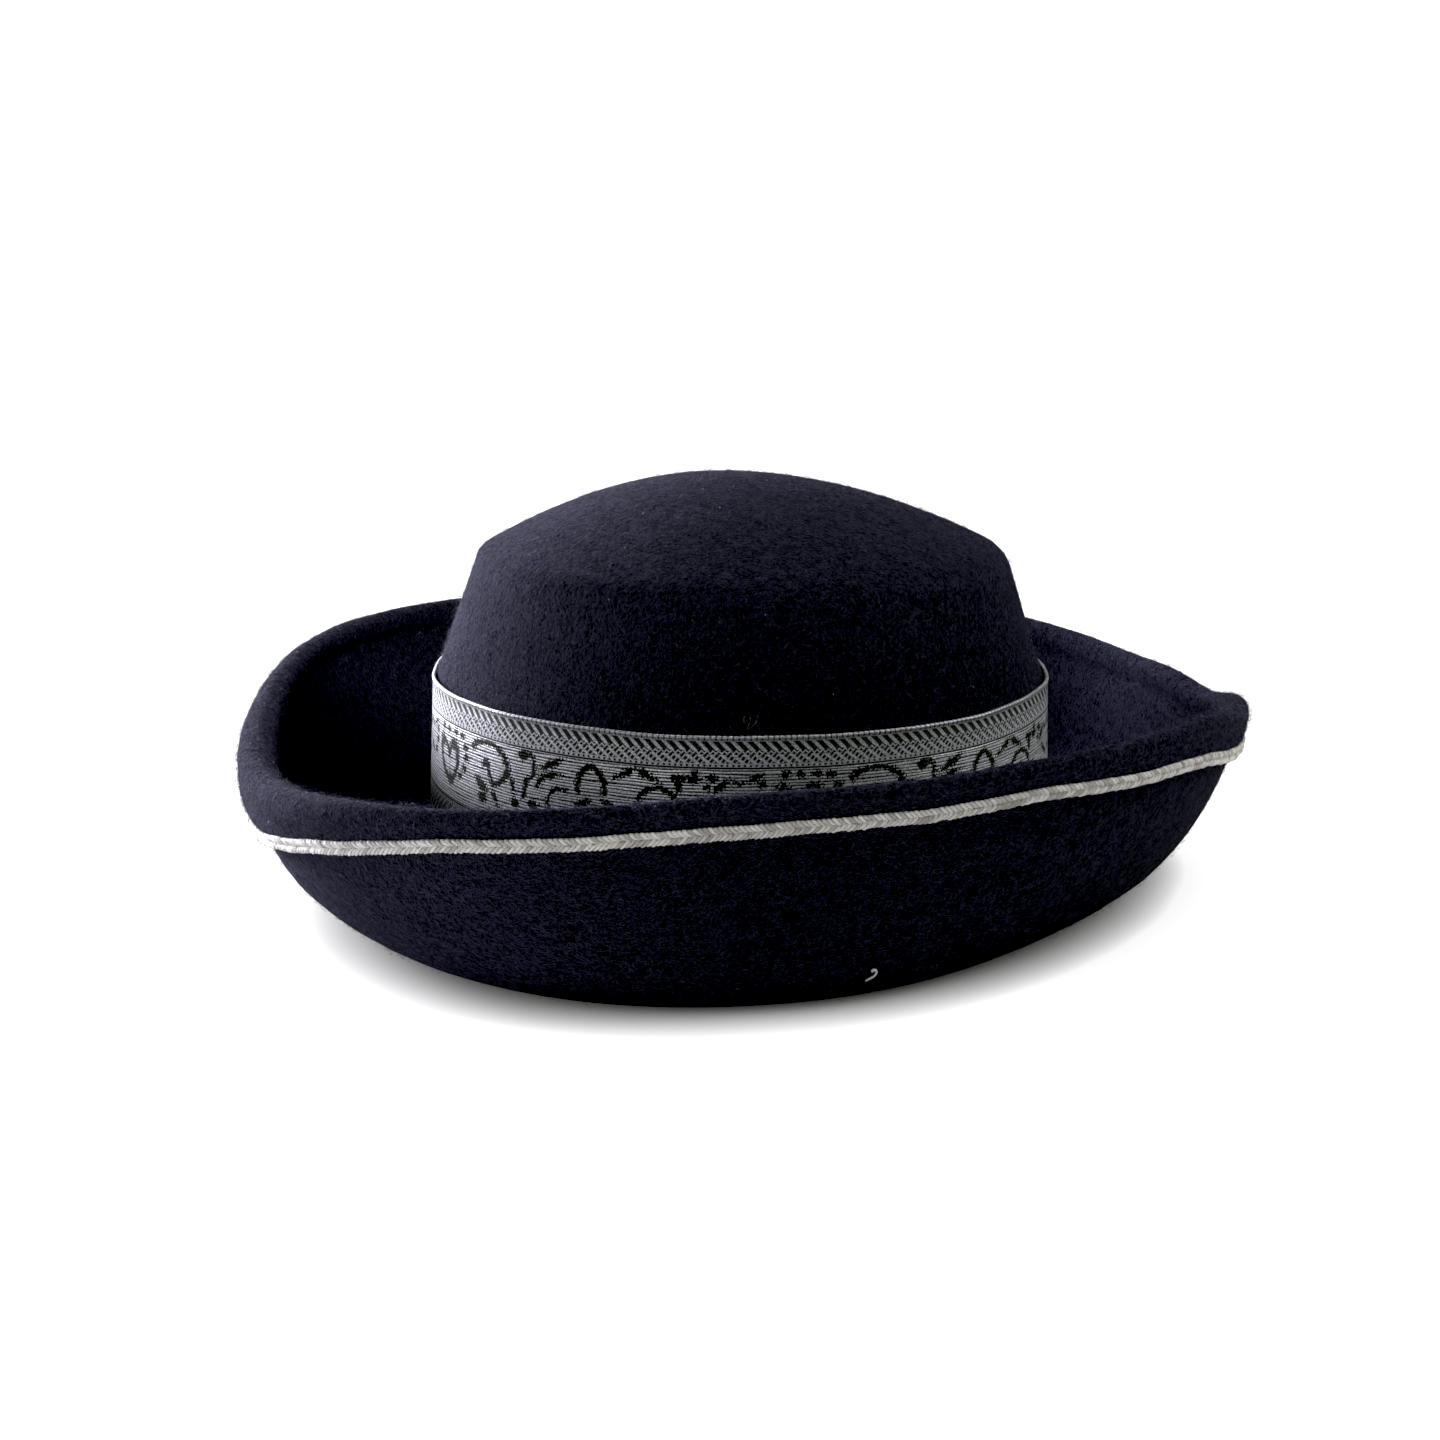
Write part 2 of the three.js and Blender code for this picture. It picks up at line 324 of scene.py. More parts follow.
def placed(cut, angle):
    """A cut's points in the hat's frame: turned to their angle, leaning forward a little above the knee."""
    forward = CROWN.lean * np.maximum(0, cut.imag - CROWN.knee)
    x = CROWN_CENTRE[0] + forward + cut.real * np.cos(angle)
    y = CROWN_CENTRE[1] + cut.real * np.sin(angle)
    return np.stack([x, y, cut.imag], axis=-1)


def all_round(count):
    """Equal angles for a full turn, as a column."""
    return (np.arange(count) / count * TURN)[:, None]


def run_of(loop):
    """The distance run at each point of a closed loop, and the whole length last."""
    steps = np.linalg.norm(np.diff(loop, axis=0, append=loop[:1]), axis=-1)
    return np.concatenate([[0], np.cumsum(steps)])


def grid_normals(grid):
    """Unit normals of a grid that closes round its first axis: its way along crossed with its way round."""
    along = np.gradient(grid, axis=1)
    around = np.roll(grid, -1, axis=0) - np.roll(grid, 1, axis=0)
    normal = np.cross(along, around)
    length = np.linalg.norm(normal, axis=-1, keepdims=True)
    return np.where(length > 1e-6, normal / np.maximum(length, 1e-6), 0)


def skin_normals(grid):
    """Normals of a skin whose cuts run from an upper pole to a lower one, where they point up and down."""
    normal = grid_normals(grid)
    normal[:, 0], normal[:, -1] = (0, 0, 1), (0, 0, -1)
    return normal


def waves(points, wavelengths, seed):
    """Slow unevenness between -1 and 1: sines of the points along random directions, averaged."""
    rng = np.random.default_rng(seed)
    total = 0
    for wavelength in wavelengths:
        for _ in range(3):
            way = rng.normal(size=3)
            way *= TURN / wavelength / np.linalg.norm(way)
            total = total + np.sin(points @ way + rng.uniform(0, TURN))
    return total / (3 * len(wavelengths))


def hand_blocked(grid):
    """The felt with the lumps of hand blocking: each point moves along its normal by slow and quick waves.

    They fade out towards the table, are lower on the crown and lowest behind the ribbon.
    """
    height = grid[..., 2]
    lumps = LUMPS.slow * waves(grid, (70, 42, 26), seed=3) + LUMPS.quick * waves(grid, (15, 10, 7), seed=4)
    clear_of_ribbon = ramp(height, 66, 80) + ramp(height, 26, 12)
    on_crown = np.arange(grid.shape[1]) < CROWN_END
    share = np.where(on_crown, np.clip(clear_of_ribbon, LUMPS.behind_ribbon, 1) * LUMPS.on_crown, 1)
    return grid + skin_normals(grid) * (lumps * ramp(height, 0.5, 8) * share)[..., None]


def mesh_piece(name, vertices, loops, sizes, material, uv=None):
    """A piece from arrays: corners in millimetres, the faces' corner numbers, and how many each face has."""
    mesh = bpy.data.meshes.new(name)
    mesh.vertices.add(len(vertices))
    mesh.vertices.foreach_set("co", (np.asarray(vertices) * MM).ravel())
    mesh.loops.add(len(loops))
    mesh.loops.foreach_set("vertex_index", np.asarray(loops, np.int32))
    mesh.polygons.add(len(sizes))
    mesh.polygons.foreach_set("loop_start", np.concatenate([[0], np.cumsum(sizes)[:-1]]).astype(np.int32))
    mesh.polygons.foreach_set("use_smooth", np.ones(len(sizes), bool))
    if uv is not None:
        mesh.uv_layers.new(name="weave").data.foreach_set("uv", uv.ravel())
    mesh.update(calc_edges=True)
    mesh.materials.append(material)
    piece = bpy.data.objects.new(name, mesh)
    bpy.context.scene.collection.objects.link(piece)
    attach(piece, "root")
    return piece


def skin_piece(name, grid, material):
    """A closed skin over cuts that run from pole to pole."""
    count, length = grid.shape[:2]
    inner = length - 2
    vertices = np.vstack([grid[0, :1], grid[:, 1:-1].reshape(-1, 3), grid[0, -1:]])
    last = len(vertices) - 1
    i = np.arange(count)[:, None]
    j = np.arange(inner - 1)[None]
    this, following = 1 + i * inner + j, 1 + (i + 1) % count * inner + j
    quads = np.stack([this, this + 1, following + 1, following], axis=-1).reshape(-1, 4)
    start, following_start = 1 + i[:, 0] * inner, 1 + (i[:, 0] + 1) % count * inner
    first_fan = np.stack([0 * start, start, following_start], axis=-1)
    end, following_end = start + inner - 1, following_start + inner - 1
    last_fan = np.stack([end, 0 * end + last, following_end], axis=-1)
    loops = np.concatenate([quads.ravel(), first_fan.ravel(), last_fan.ravel()])
    sizes = np.concatenate([np.full(len(quads), 4), np.full(2 * count, 3)])
    return mesh_piece(name, vertices, loops, sizes, material)


def loop_piece(name, grid, shares, material):
    """A closed loop over cuts that close on themselves, with a UV map of (share round, share across)."""
    count, length = grid.shape[:2]
    i, j = np.meshgrid(np.arange(count), np.arange(length), indexing="ij")
    i2, j2 = (i + 1) % count, (j + 1) % length
    quads = np.stack([i * length + j, i * length + j2, i2 * length + j2, i2 * length + j], axis=-1)
    run = run_of(grid.mean(axis=1))
    u = (run / run[-1])[np.stack([i, i, i + 1, i + 1], axis=-1)]
    v = shares[np.stack([j, j2, j2, j], axis=-1)]
    sizes = np.full(count * length, 4)
    uv = np.stack([u, v], axis=-1)
    return mesh_piece(name, grid.reshape(-1, 3), quads.ravel(), sizes, material, uv=uv)


def strand_piece(name, path, radius, twist, material):
    """A twisted two-ply thread along a path, closed at its ends.

    r = radius * (1 + 0.3 |cos(a - twist * distance)|), and it narrows over the first and last sixth.
    """
    around, relief = 10, 0.3
    count = len(path)
    along = np.gradient(path, axis=0)
    along /= np.linalg.norm(along, axis=1, keepdims=True)
    side = np.cross(along, [0.3, 0.2, 0.93])
    side /= np.linalg.norm(side, axis=1, keepdims=True)
    up = np.cross(along, side)
    distance = np.cumsum(np.linalg.norm(np.diff(path, axis=0, prepend=path[:1]), axis=1))[:, None]
    a = all_round(around).T
    share = np.linspace(0, 1, count)[:, None]
    narrowing = np.minimum(1, 6 * np.minimum(share, 1 - share) + 0.3)
    r = radius * (1 + relief * np.abs(np.cos(a - twist * distance))) * narrowing
    circle = np.cos(a)[..., None] * side[:, None] + np.sin(a)[..., None] * up[:, None]
    rings = path[:, None] + r[..., None] * circle
    tips = path[[0, -1]] + along[[0, -1]] * radius * np.array([[-0.3], [0.3]])
    vertices = np.vstack([rings.reshape(-1, 3), tips])
    i, j = np.meshgrid(np.arange(count - 1), np.arange(around), indexing="ij")
    j2 = (j + 1) % around
    quads = np.stack([i * around + j, i * around + j2, (i + 1) * around + j2, (i + 1) * around + j], axis=-1)
    k = np.arange(around)
    k2 = (k + 1) % around
    start = np.stack([k2, k, 0 * k + count * around], axis=-1)
    end = np.stack([(count - 1) * around + k, (count - 1) * around + k2, 0 * k + count * around + 1], axis=-1)
    loops = np.concatenate([quads.ravel(), start.ravel(), end.ravel()])
    sizes = np.concatenate([np.full((count - 1) * around, 4), np.full(2 * around, 3)])
    return mesh_piece(name, vertices, loops, sizes, material)


def nap_piece(name, grid, normal, chances, count, length, radius, standing, seed, material, slot):
    """Loose curly fibres on a grid, each a bent spindle of three sides with a ring at 1/3 and at 2/3.

    Roots fall on the grid's faces by their area times their chance. A fibre of length l bends by an angle
    b along an arc in the surface, l (sin(b s) / b, (1 - cos(b s)) / b), and rises off it by h sin(k s),
    for s from 0 to 1.
    """
    rng = np.random.default_rng(seed)
    a, b, d = grid[:, :-1], grid[:, 1:], np.roll(grid, -1, axis=0)[:, :-1]
    weight = np.linalg.norm(np.cross(b - a, d - a), axis=-1) * chances[:, :-1]
    cell = rng.choice(weight.size, size=count, p=(weight / weight.sum()).ravel())
    i, j = np.unravel_index(cell, weight.shape)
    across, around = rng.uniform(size=(2, count, 1))
    root = a[i, j] + across * (b[i, j] - a[i, j]) + around * (d[i, j] - a[i, j])
    up = normal[i, j]
    ahead = np.cross(up, rng.normal(size=(count, 3)))
    ahead /= np.linalg.norm(ahead, axis=1, keepdims=True)
    aside = np.cross(up, ahead)
    bend = rng.uniform(0.5, 2.2, (count, 1)) * rng.choice([-1, 1], (count, 1))
    reach = length * rng.uniform(0.5, 1.3, (count, 1))
    rise = standing * reach * rng.uniform(0.1, 1, (count, 1)) ** 2
    loops_back = rng.uniform(0.45, 1, (count, 1)) * np.pi
    thick = radius * rng.uniform(0.7, 1.3, (count, 1))

    def at(share):
        """The point of each fibre at a share of its length, sunk a little into the felt."""
        flat = reach * (np.sin(bend * share) * ahead + (1 - np.cos(bend * share)) * aside) / bend
        return root + flat + (rise * np.sin(loops_back * share) - 0.05) * up

    def ring(share):
        """Three corners round a fibre: two low and one on top."""
        sideways = -np.sin(bend * share) * ahead + np.cos(bend * share) * aside
        corners = ((0, 1), (-0.87, -0.5), (0.87, -0.5))
        return [at(share) + thick * (x * sideways + y * up) for x, y in corners]

    vertices = np.stack([at(0), *ring(1 / 3), *ring(2 / 3), at(1)], axis=1).reshape(-1, 3)
    ends = np.array([[0, 1, 2], [0, 2, 3], [0, 3, 1], [7, 5, 4], [7, 6, 5], [7, 4, 6]])
    sides = np.array([[1, 4, 5, 2], [2, 5, 6, 3], [3, 6, 4, 1]])
    start = 8 * np.arange(count)[:, None, None]
    loops = np.concatenate([(ends + start).ravel(), (sides + start).ravel()])
    sizes = np.concatenate([np.full(6 * count, 3), np.full(3 * count, 4)])
    return mesh_piece(name, vertices, loops, sizes, material)


def spaced(**inputs):
    """The names of a shader's inputs, with a space for each _."""
    return {name.replace("_", " "): value for name, value in inputs.items()}


class Wire:
    """A value in a material. Arithmetic on it adds the Math nodes that work the result out."""

    def __init__(self, shader, socket):
        self.shader, self.socket = shader, socket

    def math(self, operation, *values):
        return self.shader.node("ShaderNodeMath", dict(enumerate(values)), operation=operation)

    def __add__(self, other):
        return self.math("ADD", self, other)

    __radd__ = __add__

    def __sub__(self, other):
        return self.math("SUBTRACT", self, other)

    def __rsub__(self, other):
        return self.math("SUBTRACT", other, self)

    def __mul__(self, other):
        return self.math("MULTIPLY", self, other)

    def __truediv__(self, other):
        return self.math("DIVIDE", self, other)

    def __pow__(self, other):
        return self.math("POWER", self, other)

    def __abs__(self):
        return self.math("ABSOLUTE", self)

    def fraction(self):
        return self.math("FRACT", self)

    def floor(self):
        return self.math("FLOOR", self)

    def least(self, other):
        return self.math("MINIMUM", self, other)

    def most(self, other):
        return self.math("MAXIMUM", self, other)

    def over(self, low, high):
        """0 below low, 1 above high and smooth between them. Low may be the larger."""
        inputs = {"Value": self, "From Min": low, "From Max": high}
        return self.shader.node("ShaderNodeMapRange", inputs, interpolation_type="SMOOTHSTEP")


class Shader:
    """One material, made of nodes. Every node comes from its node method."""

    def __init__(self, name):
        self.material = bpy.data.materials.new(name)
        self.material.use_nodes = True
        self.tree = self.material.node_tree
        self.tree.nodes.clear()

    def node(self, kind, inputs=None, output=0, **settings):
        made = self.tree.nodes.new(kind)
        for setting, value in settings.items():
            setattr(made, setting, value)
        for name, value in (inputs or {}).items():
            if isinstance(value, Wire):
                self.tree.links.new(value.socket, made.inputs[name])
            else:
                made.inputs[name].default_value = value
        return Wire(self, made.outputs[output]) if made.outputs else None

    def place(self):
        """Object coordinates in millimetres."""
        metres = self.node("ShaderNodeTexCoord", output="Object")
        return self.node("ShaderNodeVectorMath", {0: metres, "Scale": 1 / MM}, operation="SCALE")

    def noise(self, place, scale, detail=2, roughness=0.5, distortion=0):
        inputs = spaced(Vector=place, Scale=scale, Detail=detail, Roughness=roughness, Distortion=distortion)
        return self.node("ShaderNodeTexNoise", inputs)

    def mix(self, share, first, second):
        """Two colours, mixed by a share."""
        return self.node("ShaderNodeMix", {0: share, 6: first, 7: second}, output=2, data_type="RGBA")

    def point(self, x, y, z=0):
        return self.node("ShaderNodeCombineXYZ", {0: x, 1: y, 2: z})

    def split(self, place):
        """A point's x and y."""
        x = self.node("ShaderNodeSeparateXYZ", {0: place})
        return x, Wire(self, x.socket.node.outputs[1])

    def bump(self, height, distance):
        """A normal that follows a height, where 1 stands for a distance in millimetres."""
        return self.node("ShaderNodeBump", {"Height": height, "Strength": 1, "Distance": distance * MM})

    def finish(self, **inputs):
        """Ends the material in one Principled shader. Its inputs are named with _ for a space."""
        surface = self.node("ShaderNodeBsdfPrincipled", spaced(**inputs))
        self.node("ShaderNodeOutputMaterial", {"Surface": surface})
        return self.material


class World(Shader):
    """The light all round, made of nodes as a material is, in a tree of its own."""

    def __init__(self, name):
        self.world = bpy.data.worlds.new(name)
        self.world.use_nodes = True
        self.tree = self.world.node_tree
        self.tree.nodes.clear()


def strands(shader, place, scale, width):
    """Thin curly strands: bright where a warped noise crosses its middle value."""
    field = shader.noise(place, scale, detail=1, distortion=1.3)
    return abs(field - 0.5).over(width, 0)


NAVY = Sizes(
    # pit: the darkest tone, partly painted shade in the felt's recesses.
    pit=colour(0.0035, 0.0037, 0.0072),
    curl=colour(0.041, 0.0427, 0.071),
    speck=colour(0.07, 0.073, 0.11),
    bloom=colour(0.5, 0.51, 0.78),
)


def felt_finish():
    """Dark navy wool felt: curly matted strands over soft clumps, and a faint bloom at grazing light."""
    felt = Shader("navy_wool_felt")
    place = felt.place()
    clumps = felt.noise(place, 0.3, detail=3)
    long_curls = strands(felt, place, 0.5, 0.07)
    short_curls = strands(felt, place, 0.95, 0.08)
    fluff = felt.noise(place, 0.9, detail=3, roughness=0.65)
    curls = long_curls.most(short_curls * 0.8)
    # Partly painted shade: the low pits, which the relief below sinks, take the darkest tone; the rest varies
    # at random.
    pits = (fluff * 0.65 + clumps * 0.35).over(0.37, 0.6)
    shade = pits * (0.35 + curls * 0.65)
    base = felt.mix(shade, NAVY.pit, NAVY.curl)
    specks = felt.noise(place, 2.2, detail=1).over(0.73, 0.8)
    base = felt.mix(specks, base, NAVY.speck)
    relief = felt.bump(curls * 0.6 + pits * 0.9 + clumps * 0.7, 2.0)
    return felt.finish(
        Base_Color=base,
        Roughness=0.95,
        Specular_IOR_Level=0.04,
        Sheen_Weight=0.19,
        Sheen_Roughness=0.4,
        Sheen_Tint=NAVY.bloom,
        Normal=relief,
    )


def fibre_finish(name, dark, light):
    """Single wool fibres, from a dark shade to a light one."""
    fibre = Shader(name)
    shade = fibre.noise(fibre.place(), 0.9, detail=2)
    base = fibre.mix(shade.over(0.36, 0.66), colour(*dark), colour(*light))
    return fibre.finish(Base_Color=base, Roughness=0.7, Specular_IOR_Level=0.1)


# The ribbon's border, in mm from either edge: where its bars, arrowheads and ticks lie, the middles of its
# zigzag and of its bright line, where the dark line lies, and where the ornament's field begins.
BORDER = Sizes(
    bars=(1.5, 4.3),
    zigzag=4.3,
    arrowheads=(5.4, 8.1),
    line=8.25,
    ticks=(8.3, 9.1),
    dark=9.5,
    field=9.85,
)
WEAVE = Sizes(thread=0.45, rib=0.95)
SILVER = Sizes(
    dull=colour(0.27, 0.29, 0.32),
    bright=colour(0.97, 0.99, 1.0),
    bead=colour(0.3, 0.31, 0.33),
    # gap: the weave's dark hairlines, and painted shade between the beads of the edge.
    gap=colour(0.012, 0.013, 0.017),
    # glint: painted glints.
    glint=colour(0.95, 0.96, 0.98),
    # foot: painted shade towards the ribbon's foot, where the brim shades it.
    foot=colour(0.03, 0.033, 0.04),
    black=colour(0.003, 0.0035, 0.005),
)

# The jacquard's ornament, charted in mm along the ribbon and below its top edge. Tilts and cuts are in
# degrees from along towards below. Leaves are filled ovals. The heart is the outline of two ovals
# together, and the pointed arch the outline of what two ovals share, down to its foot.
CHART = Sizes(start=34, repeat=126.4, shift=-2.2)
OUTLINES = Sizes(heart=1.7, arch=1.6, arch_foot=20)
OVAL_COLUMNS = ("along", "below", "half_length", "half_width", "tilt")
HEART = [
    (41.4, 21.8, 6.3, 3.3, 62),
    (46.4, 21.6, 6.1, 3.3, 107),
]
POINTED_ARCH = [
    (104.6, 18.4, 6.9, 7.2, 0),
    (109.4, 18.4, 6.9, 7.2, 0),
]
LEAVES = [
    (39.4, 11.5, 1.3, 1.0, 0),
    (43.9, 11.6, 1.3, 1.0, 0),
    (48.6, 11.3, 1.3, 1.0, 0),
    (52.8, 12.0, 1.3, 1.0, 0),
    (55.2, 15.2, 1.3, 1.0, 0),
    (55.6, 18.6, 1.3, 1.0, 0),
    (54.2, 22.0, 1.3, 1.0, 0),
    (51.6, 25.0, 1.3, 1.0, 0),
    (159.0, 14.2, 1.2, 1.1, 0),
    (158.6, 17.9, 1.2, 1.1, 0),
    (157.0, 21.6, 1.2, 1.1, 0),
    (66.2, 17.6, 1.8, 1.6, 0),
    (68.0, 20.4, 2.2, 0.8, 62),
    (64.0, 24.8, 3.3, 1.5, 28),
    (64.8, 28.8, 2.2, 1.5, -10),
    (70.7, 27.4, 2.2, 0.9, 54),
    (75.6, 16.2, 2.8, 0.75, 50),
    (78.3, 21.6, 3.9, 0.7, 76),
    (79.4, 27.2, 1.4, 1.3, 0),
    (82.6, 11.9, 2.0, 1.5, -15),
    (83.6, 21.9, 3.2, 0.8, 104),
    (93.4, 12.8, 3.9, 1.1, -26),
    (92.9, 16.4, 3.1, 1.0, -12),
    (89.2, 18.9, 2.4, 0.8, -48),
    (86.6, 26.6, 2.2, 1.2, 0),
    (104.4, 23.4, 2.4, 1.2, -20),
    (112.6, 22.8, 2.2, 1.0, 30),
    (118.2, 12.4, 3.4, 0.85, -26),
    (124.6, 12.5, 3.6, 1.05, 27),
    (134.3, 14.8, 1.2, 2.7, 0),
    (133.0, 12.7, 0.9, 0.9, 0),
    (135.8, 12.9, 0.9, 0.9, 0),
    (138.8, 12.9, 2.2, 1.2, 0),
    (139.0, 11.4, 0.9, 1.3, 0),
    (144.3, 12.4, 1.5, 1.2, 0),
    (142.9, 15.2, 1.2, 0.9, 0),
    (147.0, 14.9, 3.3, 1.05, -40),
    (152.4, 14.0, 2.6, 0.55, 4),
    (156.8, 12.6, 2.7, 0.75, -28),
    (150.4, 21.4, 3.4, 0.9, 35),
    (143.6, 25.2, 2.6, 1.2, -25),
    (137.2, 22.6, 1.4, 1.3, 0),
]
# Arcs are outlines of ovals, without the stretch that lies further than reach from the middle towards cut.
ARC_COLUMNS = ("along", "below", "half_length", "half_width", "thickness", "cut", "reach")
ARCS = [
    (66.8, 17.2, 9.3, 6.4, 1.4, 135, 3.2),
    (82.4, 14.8, 4.5, 5.0, 1.1, 180, -0.8),
    (97.4, 24.6, 5.2, 4.7, 1.1, 45, -1.4),
    (127.9, 21.4, 5.8, 5.2, 1.3, 90, 0.2),
]


def ribbon_finish(at_back):
    """Silver jacquard: a beaded edge, slanted bars, a thin dark line, and black ornament on fine ribs.

    at_back is how far along the ribbon the middle of the hat's back lies, which the chart is counted from.
    """
    ribbon = Shader("silver_jacquard_ribbon")
    weave = ribbon.node("ShaderNodeUVMap", uv_map="weave")
    turn, share = ribbon.split(weave)
    u, v = turn * RIBBON.length, share * BAND_WIDTH
    inset = v.least(BAND_WIDTH - v)
    bar = RIBBON.bar_pitch

    def pitched(pitch, shift=0):
        """0 to 1 over each of the equal steps, of about this pitch, that go into the ribbon's length."""
        return (u / (RIBBON.length / round(RIBBON.length / pitch)) + shift).fraction()

    def row(low, high):
        """1 between two distances from the edge."""
        return inset.over(low - 0.12, low + 0.12) * inset.over(high + 0.12, high - 0.12)

    def strand(pitch, slant, part, shift=0):
        """1 on slanted strands that take this part of each pitch."""
        return abs(pitched(pitch, inset * slant + shift) - 0.5).over(part / 2 + 0.06, part / 2 - 0.06)

    zigzag = abs(pitched(bar / 2) - 0.5) * 2
    bright = strand(bar, -0.28, 0.42) * row(*BORDER.bars)
    bright = bright.most(abs(inset - BORDER.zigzag - zigzag * 0.9).over(0.34, 0.16))
    arrowheads = strand(bar, -0.36, 0.4, 0.5).most(strand(bar / 2, 0.5, 0.3))
    bright = bright.most(arrowheads * row(*BORDER.arrowheads))
    bright = bright.most(abs(inset - BORDER.line).over(0.2, 0.08))
    bright = bright.most(strand(bar / 2, 0, 0.6) * row(*BORDER.ticks))
    dark = (1 - bright) * row(BORDER.bars[0], BORDER.ticks[1]) * 0.97
    dark = dark.most(abs(inset - BORDER.dark).over(0.35, 0.2))

    thread = WEAVE.thread
    chart_u = ((u - at_back - CHART.shift - CHART.start) / CHART.repeat).fraction() * CHART.repeat
    woven_u = ((chart_u / thread).floor() + 0.5) * thread + CHART.start
    woven_v = ((BAND_WIDTH - v) / thread).floor() * thread + thread / 2
    woven = ribbon.point(woven_u, woven_v)
    ragged = ribbon.node("ShaderNodeTexWhiteNoise", {"Vector": woven}, noise_dimensions="2D")

    def dot(x, y):
        inputs = {0: woven, 1: (x, y, 0)}
        return ribbon.node("ShaderNodeVectorMath", inputs, output="Value", operation="DOT_PRODUCT")

    def oval(along, below, half_length, half_width, tilt=0):
        """How far a point lies outside a tilted ellipse, about, in mm: (|X, Y| - 1) times its less size.

        X is the point's way along the first axis over the half length, and Y its way along the second over
        the half width.
        """
        turned = math.radians(tilt)
        x, y = math.cos(turned), math.sin(turned)
        first = dot(x / half_length, y / half_length) - (along * x + below * y) / half_length
        second = dot(-y / half_width, x / half_width) - (below * x - along * y) / half_width
        return ((first * first + second * second) ** 0.5 - 1) * min(half_length, half_width)

    def outline(shape, thickness):
        return abs(shape) - thickness / 2

    left_lobe, right_lobe = (oval(**vars(lobe)) for lobe in rows_of(OVAL_COLUMNS, HEART))
    motif = outline(left_lobe.least(right_lobe), OUTLINES.heart)
    left_bow, right_bow = (oval(**vars(bow)) for bow in rows_of(OVAL_COLUMNS, POINTED_ARCH))
    arch = outline(left_bow.most(right_bow), OUTLINES.arch)
    motif = motif.least(arch.most(dot(0, 1) - OUTLINES.arch_foot))
    for leaf in rows_of(OVAL_COLUMNS, LEAVES):
        motif = motif.least(oval(**vars(leaf)))
    for arc in rows_of(ARC_COLUMNS, ARCS):
        x, y = math.cos(math.radians(arc.cut)), math.sin(math.radians(arc.cut))
        beyond = dot(x, y) - (arc.along * x + arc.below * y + arc.reach)
        line = outline(oval(arc.along, arc.below, arc.half_length, arc.half_width), arc.thickness)
        motif = motif.least(line.most(beyond))
    field = inset.over(BORDER.field, BORDER.field + 0.15)
    dark = dark.most((motif + ragged * 1.1 - 0.72).over(0.12, -0.12) * field)

    grain = ribbon.noise(ribbon.point(u, v), 1.6, detail=3, roughness=0.7)
    flecks = ribbon.noise(ribbon.point(u * 2.2, v * 3.4), 1.0, detail=2)
    dark = dark * (1 - flecks.over(0.62, 0.72) * 0.4)
    ribs = v / WEAVE.rib + ribbon.noise(ribbon.point(u * 0.05, v * 0.6), 1.0, detail=1) * 1.2
    rib = ribs.fraction()
    faint = ribbon.noise(ribbon.point(u * 0.12, ribs.floor() * 7), 1.0, detail=1)
    hairline = rib.over(0.46, 0.18).most(rib.over(0.82, 1.0)) * field * faint.over(0.22, 0.5)
    beaded = inset.over(BORDER.bars[0] - 0.05, BORDER.bars[0] - 0.3)
    bead_gap = abs(pitched(bar / 2) - 0.5).over(0.26, 0.46) * beaded
    silver = ribbon.mix(grain.over(0.3, 0.7), SILVER.dull, SILVER.bright)
    silver = ribbon.mix(beaded * 0.8, silver, SILVER.bead)
    # The hairlines are the weave's dark threads; the dark between the edge's beads is painted shade.
    silver = ribbon.mix((hairline * 0.95).most(bead_gap * 0.85), silver, SILVER.gap)
    # Painted glints: bright specks in the silver's colour.
    glints = ribbon.noise(ribbon.point(u * 1.3, v * 2.0), 1.7, detail=1).over(0.6, 0.7)
    silver = ribbon.mix(glints, silver, SILVER.glint)
    # Painted shade: the silver darkens towards the ribbon's foot, where the brim shades it.
    silver = ribbon.mix(v.over(15, 1) * 0.75, silver, SILVER.foot)
    base = ribbon.mix(dark * 0.98, silver, SILVER.black)
    relief = (1 - abs(rib - 0.5) * 2) * field * 0.5 + abs(pitched(0.62) - 0.5) * 0.2 + grain * 0.35
    return ribbon.finish(
        Base_Color=base,
        Metallic=(1 - dark) * 0.45,
        Roughness=0.4 + dark * 0.35,
        Specular_IOR_Level=0.25,
        Normal=ribbon.bump(relief, 0.22),
    )


def braid_finish(threads):
    """Ivory-silver soutache: slanted threads, each of its own tone, with painted shade between them and in
    the groove.
    """
    braid = Shader("silver_soutache_braid")
    weave = braid.node("ShaderNodeUVMap", uv_map="weave")
    turn, share = braid.split(weave)
    from_middle = abs(share - 0.5) * 2
    thread = turn * threads + from_middle * BRAID.slant
    side = share.math("GREATER_THAN", share, 0.5)
    own_place = braid.point(thread.floor(), side)
    own = braid.node("ShaderNodeTexWhiteNoise", {"Vector": own_place}, noise_dimensions="2D")
    meeting = abs(thread.fraction() - 0.5).over(0.3, 0.5)
    place = braid.place()
    soiled = braid.noise(place, 0.06, detail=2).over(0.42, 0.62)
    fluff = braid.noise(place, 2.3, detail=3, roughness=0.75)
    shade = (own * 0.4 + fluff * 0.6).over(0.25, 0.65)
    ivory = braid.mix(shade, colour(0.5, 0.475, 0.43), colour(1.0, 0.97, 0.92))
    ivory = braid.mix(soiled * 0.15, ivory, colour(0.5, 0.43, 0.39))
    shade_unevenness = braid.noise(place, 1.1, detail=2, roughness=0.6).over(0.5, 0.68)
    # Painted shade: darker where the threads meet and along the groove between the ridges, unevenly.
    shadow = (meeting * (0.35 + shade_unevenness * 0.6)).most(from_middle.over(0.26, 0.02) * (0.15 + shade_unevenness * 0.7))
    base = braid.mix(shadow, ivory, colour(0.12, 0.11, 0.09))
    relief = braid.bump(fluff * 0.9 - meeting * 0.5, 0.55)
    return braid.finish(Base_Color=base, Metallic=0.1, Roughness=0.5, Specular_IOR_Level=0.4, Normal=relief)


